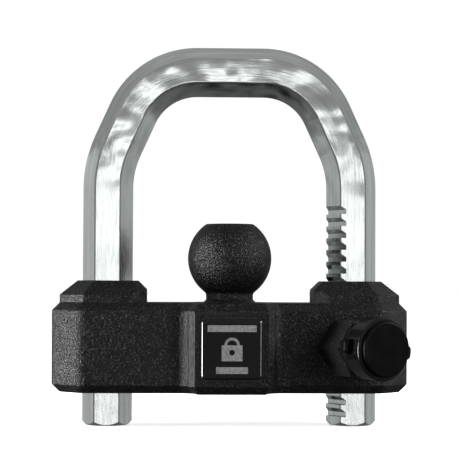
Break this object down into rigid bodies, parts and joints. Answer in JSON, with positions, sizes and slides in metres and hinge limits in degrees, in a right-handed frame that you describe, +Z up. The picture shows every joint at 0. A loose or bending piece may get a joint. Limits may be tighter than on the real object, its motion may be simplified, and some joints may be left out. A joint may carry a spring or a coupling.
{
  "type": "trailer coupler lock",
  "caption": "Trailer coupler lock: cast crossbar with a coupler ball, a ratcheting hexagonal-bar U-shackle and a key lock under a pull-off dust cap.",
  "frame": {"origin": "centre of the coupler ball", "axes": "+Z up along the ball's neck and the shackle's legs, +X towards the notched leg, -Y the front, where the label and the lock are"},
  "size_m": [0.1878, 0.096, 0.201],
  "materials": {
    "cast_coat": "fine-textured black powder coat on a steel casting",
    "plated_bar": "bright zinc plate over drawn bar, lengthwise brushing",
    "label_base": "black printed plate",
    "label_resin": null,
    "lock_shell": "smooth black finish",
    "cap_gloss": "glossy black moulding",
    "cap_face": "satin black moulding",
    "lock_brass": "machined brass",
    "spring_steel": "drawn spring wire",
    "hard_steel": "hardened steel, ground",
    "black_fastener": "black oxide",
    "zinc_washer": "zinc plate",
    "seal_rubber": "moulded rubber"
  },
  "bodies": {
    "crossbar": {"lock_body": "cast_coat", "coupler_ball": "cast_coat", "ball_bolt": "black_fastener", "ball_washer": "zinc_washer", "label_plate": "label_base", "label_dome": "label_resin", "lock_barrel": "lock_shell", "driver_pins": "lock_brass", "pin_springs": "spring_steel", "chamber_strip": "lock_brass", "barrel_seal": "seal_rubber", "barrel_screw": "black_fastener", "pawl_springs": "spring_steel"},
    "shackle": {"shackle": "plated_bar"},
    "plug": {"lock_plug": "lock_brass", "key_pins": "lock_brass", "plug_circlip": "spring_steel", "lock_cam": "hard_steel"},
    "pawl": {"pawl": "hard_steel"},
    "cap": {"dust_cap": "cap_gloss", "cap_disc": "cap_face", "cap_pads": "cap_face"}
  },
  "joints": [
    {"name": "shackle_slide", "type": "slide", "parent": "crossbar", "child": "shackle", "axis": [0, 0, 1], "range_m": [-0.0441, 0.0819]},
    {"name": "plug_turn", "type": "hinge", "parent": "crossbar", "child": "plug", "pos_m": [0.06734, -0.03323, -0.04638], "axis": [-0.5, 0.866, 0], "range_deg": [0, 90]},
    {"name": "pawl_slide", "type": "slide", "parent": "crossbar", "child": "pawl", "axis": [0.866, 0.5, 0], "range_m": [0, 0.00271], "deforming": ["pawl_springs"]},
    {"name": "cap_pull", "type": "slide", "parent": "crossbar", "child": "cap", "axis": [0.5, -0.866, 0], "range_m": [0, 0.03]}
  ],
  "couplings": [
    {"joint": "pawl_slide", "follows": "plug_turn", "m_per_rad": 0.0017189}
  ]
}
